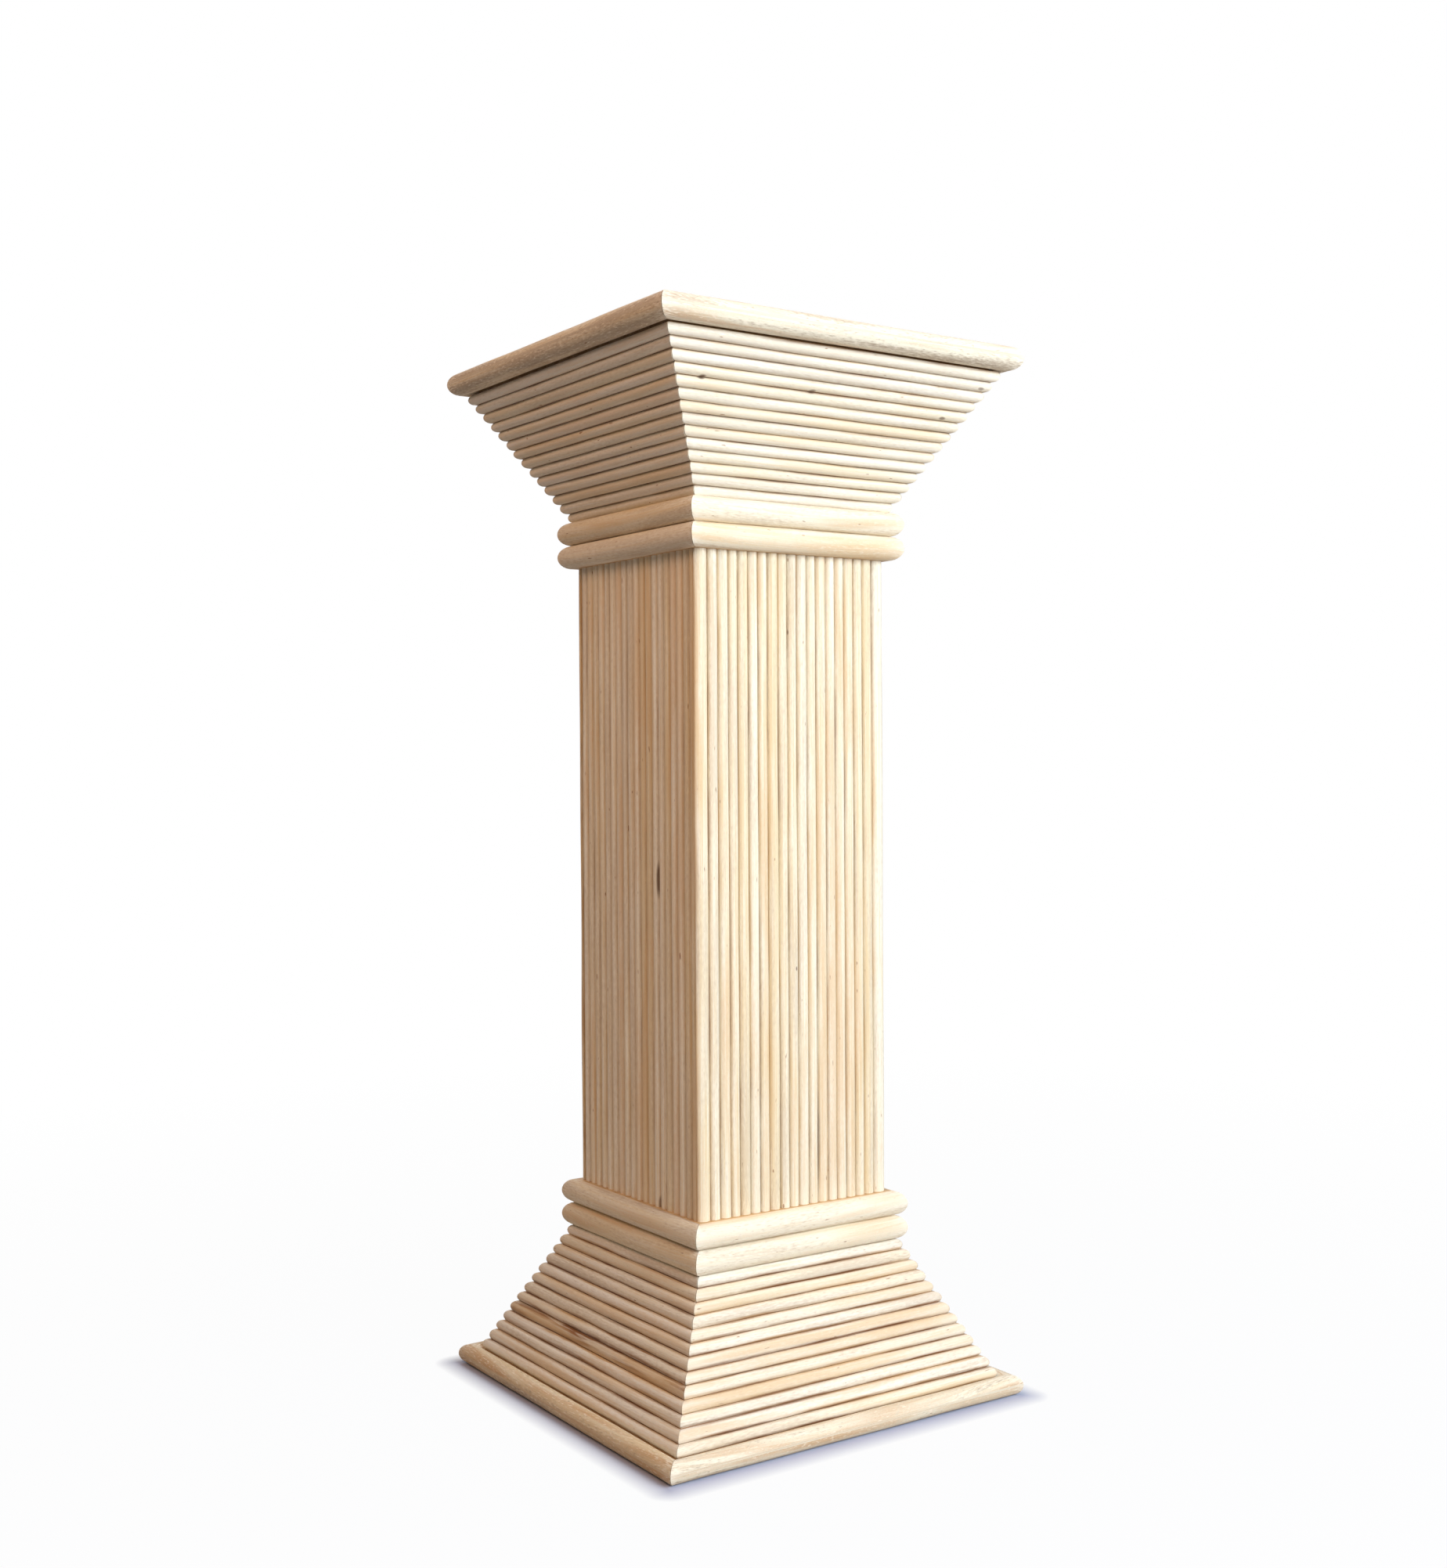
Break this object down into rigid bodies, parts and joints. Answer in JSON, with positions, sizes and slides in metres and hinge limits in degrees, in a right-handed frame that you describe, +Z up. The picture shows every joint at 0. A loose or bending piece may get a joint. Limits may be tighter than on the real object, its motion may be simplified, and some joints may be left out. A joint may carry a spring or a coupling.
{
  "type": "pedestal column stand",
  "caption": "Square pedestal column stand clad in split reed, with a flared capital and base, banded joints and a flat top that carries a plant, lamp or ornament.",
  "frame": {"origin": "centre of the underside, on the floor under the column's axis", "axes": "+Z up the column, -Y out of the front face and +X to the right; the reeds of the front and back faces lap over the edges of the side rows"},
  "size_m": [0.31, 0.31, 0.762],
  "materials": {
    "shaft_reed": "split rattan reed, pale limed satin, upright",
    "slope_reed": "split rattan reed, pale limed satin, level",
    "band": "half-round rattan pole, limed satin, mottled skin",
    "pole": "round rattan pole, limed satin, mottled skin",
    "plywood": "plain plywood, unfinished",
    "veneer": "wood veneer, pale limed satin",
    "softwood": "sawn softwood, unfinished",
    "steel": "plain steel fasteners"
  },
  "bodies": {
    "root": {"band_pins": "steel", "base_battens": "softwood", "base_board": "plywood", "base_pole_back": "pole", "base_pole_front": "pole", "base_pole_left": "pole", "base_pole_pins": "steel", "base_pole_right": "pole", "base_reeds_back": "slope_reed", "base_reeds_front": "slope_reed", "base_reeds_left": "slope_reed", "base_reeds_right": "slope_reed", "base_slope_back": "plywood", "base_slope_front": "plywood", "base_slope_left": "plywood", "base_slope_right": "plywood", "board_screws": "steel", "box_back": "plywood", "box_front": "plywood", "box_left": "plywood", "box_right": "plywood", "capital_battens": "softwood", "capital_reeds_back": "slope_reed", "capital_reeds_front": "slope_reed", "capital_reeds_left": "slope_reed", "capital_reeds_right": "slope_reed", "capital_slope_back": "plywood", "capital_slope_front": "plywood", "capital_slope_left": "plywood", "capital_slope_right": "plywood", "corner_posts": "softwood", "foot_band_1_back": "band", "foot_band_1_front": "band", "foot_band_1_left": "band", "foot_band_1_right": "band", "foot_band_2_back": "band", "foot_band_2_front": "band", "foot_band_2_left": "band", "foot_band_2_right": "band", "foot_collar": "plywood", "neck_band_1_back": "band", "neck_band_1_front": "band", "neck_band_1_left": "band", "neck_band_1_right": "band", "neck_band_2_back": "band", "neck_band_2_front": "band", "neck_band_2_left": "band", "neck_band_2_right": "band", "neck_collar": "plywood", "shaft_reeds_back": "shaft_reed", "shaft_reeds_front": "shaft_reed", "shaft_reeds_left": "shaft_reed", "shaft_reeds_right": "shaft_reed", "top_board": "plywood", "top_pole_back": "pole", "top_pole_front": "pole", "top_pole_left": "pole", "top_pole_pins": "steel", "top_pole_right": "pole", "top_veneer": "veneer"}
  },
  "joints": []
}
